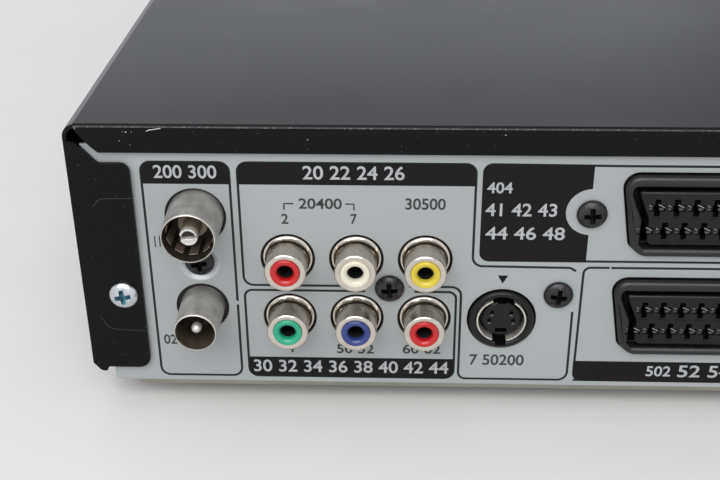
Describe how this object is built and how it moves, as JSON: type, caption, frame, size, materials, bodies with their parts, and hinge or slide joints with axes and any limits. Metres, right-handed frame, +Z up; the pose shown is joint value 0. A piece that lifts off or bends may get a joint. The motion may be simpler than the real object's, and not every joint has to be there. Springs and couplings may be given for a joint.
{
  "type": "dvd recorder",
  "caption": "Full-width disc recorder with folded steel cover, grey connector back panel, sliding disc tray, loader mechanism, push keys and a hinged front jack flap.",
  "frame": {"origin": "middle of the whole object's footprint, on the surface it stands on", "axes": "+X to the right seen from the front, along the width; +Y to the back, where the connectors are; +Z up"},
  "size_m": [0.43, 0.286, 0.0665],
  "materials": {
    "cover_paint": "satin fine-textured charcoal paint",
    "panel_paint": "satin light grey coating",
    "zinc_steel": "zinc-plated sheet",
    "tinned_steel": "tinned sheet",
    "dull_nickel": "dull nickel plate",
    "nickel_plate": "warm nickel plate",
    "black_plastic": "fine-grained moulding",
    "bezel_plastic": "satin moulding",
    "tray_plastic": "fine-grained moulding",
    "key_plastic": "satin grey moulding",
    "grey_resin": "filled resin",
    "pale_resin": "natural acetal",
    "window_acrylic": "smoked acrylic",
    "circuit_board": "solder resist",
    "transformer_core": "varnished laminations",
    "belt_rubber": "matt",
    "foot_rubber": "matt",
    "ground_steel": "ground and polished",
    "pickup_metal": "die-cast",
    "insert_green": "moulded",
    "insert_blue": "moulded",
    "insert_red": "moulded",
    "insert_white": "moulded",
    "insert_yellow": "moulded"
  },
  "bodies": {
    "case": {"top_cover": "cover_paint", "bottom_chassis": "zinc_steel", "foot_front_left": "foot_rubber", "foot_rear_left": "foot_rubber", "foot_front_right": "foot_rubber", "foot_rear_right": "foot_rubber", "rear_panel": "panel_paint", "tuner_module": "tinned_steel", "aerial_in_socket": "dull_nickel", "aerial_out_socket": "dull_nickel", "phono_shell_green": "nickel_plate", "phono_insert_green": "insert_green", "phono_shell_blue": "nickel_plate", "phono_insert_blue": "insert_blue", "phono_shell_lower_red": "nickel_plate", "phono_insert_lower_red": "insert_red", "phono_shell_upper_red": "nickel_plate", "phono_insert_upper_red": "insert_red", "phono_shell_white": "nickel_plate", "phono_insert_white": "insert_white", "phono_shell_yellow": "nickel_plate", "phono_insert_yellow": "insert_yellow", "phono_block": "black_plastic", "s_video_socket": "black_plastic", "scart_upper": "black_plastic", "scart_lower": "black_plastic", "digital_out_jack": "nickel_plate", "mains_inlet": "black_plastic", "fan_frame": "black_plastic", "main_board": "circuit_board", "power_board": "circuit_board", "power_transformer": "transformer_core", "front_bezel": "bezel_plastic", "display_window": "window_acrylic", "front_board": "circuit_board", "loader_frame": "grey_resin", "loading_motor": "tinned_steel", "loading_belt": "belt_rubber", "clamp_bridge": "zinc_steel"},
    "tray": {"disc_tray": "tray_plastic", "tray_cap": "bezel_plastic"},
    "tray_gear_body": {"tray_gear": "pale_resin"},
    "pulley_gear_body": {"pulley_gear": "pale_resin"},
    "motor_pulley_body": {"motor_pulley": "pale_resin"},
    "cradle": {"traverse_cradle": "grey_resin", "spindle_motor": "tinned_steel", "guide_rod_left": "ground_steel", "guide_rod_right": "ground_steel", "sled_motor": "tinned_steel"},
    "platter": {"turntable": "pale_resin"},
    "sled": {"optical_pickup": "pickup_metal"},
    "screw": {"lead_screw": "ground_steel"},
    "clamp": {"disc_clamp": "grey_resin"},
    "fan": {"fan_rotor": "black_plastic"},
    "power_key": {"power_button": "key_plastic"},
    "eject_key": {"eject_button": "key_plastic"},
    "play_key": {"play_button": "key_plastic"},
    "stop_key": {"stop_button": "key_plastic"},
    "record_key": {"record_button": "key_plastic"},
    "flap": {"jack_flap": "bezel_plastic"}
  },
  "joints": [
    {"name": "tray_slide", "type": "slide", "parent": "case", "child": "tray", "axis": [0, -1, 0], "range_m": [0, 0.138]},
    {"name": "tray_gear_spin", "type": "hinge", "parent": "case", "child": "tray_gear_body", "pos_m": [-0.098, -0.108, 0.03], "axis": [0, 0, 1], "range_deg": [0, 660]},
    {"name": "pulley_gear_spin", "type": "hinge", "parent": "case", "child": "pulley_gear_body", "pos_m": [-0.0785, -0.108, 0.025], "axis": [0, 0, 1], "range_deg": [-1056, 0]},
    {"name": "motor_pulley_spin", "type": "hinge", "parent": "case", "child": "motor_pulley_body", "pos_m": [-0.0285, -0.108, 0.024], "axis": [0, 0, 1], "range_deg": [-4218, 0]},
    {"name": "cradle_tilt", "type": "hinge", "parent": "case", "child": "cradle", "pos_m": [-0.06, 0.0147, 0.031], "axis": [1, 0, 0], "range_deg": [0, 5]},
    {"name": "turntable_spin", "type": "hinge", "parent": "cradle", "child": "platter", "pos_m": [-0.06, -0.0733, 0.038], "axis": [0, 0, 1], "continuous": true},
    {"name": "clamp_spin", "type": "hinge", "parent": "case", "child": "clamp", "pos_m": [-0.06, -0.0733, 0.045], "axis": [0, 0, 1], "continuous": true},
    {"name": "sled_slide", "type": "slide", "parent": "cradle", "child": "sled", "axis": [0, 1, 0], "range_m": [0, 0.035]},
    {"name": "lead_screw_spin", "type": "hinge", "parent": "cradle", "child": "screw", "pos_m": [-0.0295, -0.0733, 0.0272], "axis": [0, 1, 0], "range_deg": [0, 4201]},
    {"name": "fan_spin", "type": "hinge", "parent": "case", "child": "fan", "pos_m": [0.0028, 0.1263, 0.0364], "axis": [0, 1, 0], "continuous": true},
    {"name": "flap_hinge", "type": "hinge", "parent": "case", "child": "flap", "pos_m": [0.118, -0.1412, 0.0105], "axis": [1, 0, 0], "range_deg": [0, 95]},
    {"name": "power_press", "type": "slide", "parent": "case", "child": "power_key", "axis": [0, 1, 0], "range_m": [0, 0.0012], "stiffness_N_per_m": 300, "springref_m": -0.0008},
    {"name": "eject_press", "type": "slide", "parent": "case", "child": "eject_key", "axis": [0, 1, 0], "range_m": [0, 0.0012], "stiffness_N_per_m": 300, "springref_m": -0.0008},
    {"name": "play_press", "type": "slide", "parent": "case", "child": "play_key", "axis": [0, 1, 0], "range_m": [0, 0.0012], "stiffness_N_per_m": 300, "springref_m": -0.0008},
    {"name": "stop_press", "type": "slide", "parent": "case", "child": "stop_key", "axis": [0, 1, 0], "range_m": [0, 0.0012], "stiffness_N_per_m": 300, "springref_m": -0.0008},
    {"name": "record_press", "type": "slide", "parent": "case", "child": "record_key", "axis": [0, 1, 0], "range_m": [0, 0.0012], "stiffness_N_per_m": 300, "springref_m": -0.0008}
  ],
  "couplings": [
    {"joint": "tray_gear_spin", "follows": "tray_slide", "rad_per_m": 83.333},
    {"joint": "pulley_gear_spin", "follows": "tray_slide", "rad_per_m": -133.33},
    {"joint": "motor_pulley_spin", "follows": "tray_slide", "rad_per_m": -533.33},
    {"joint": "lead_screw_spin", "follows": "sled_slide", "rad_per_m": 2094.4},
    {"joint": "clamp_spin", "follows": "turntable_spin", "ratio": 1}
  ]
}
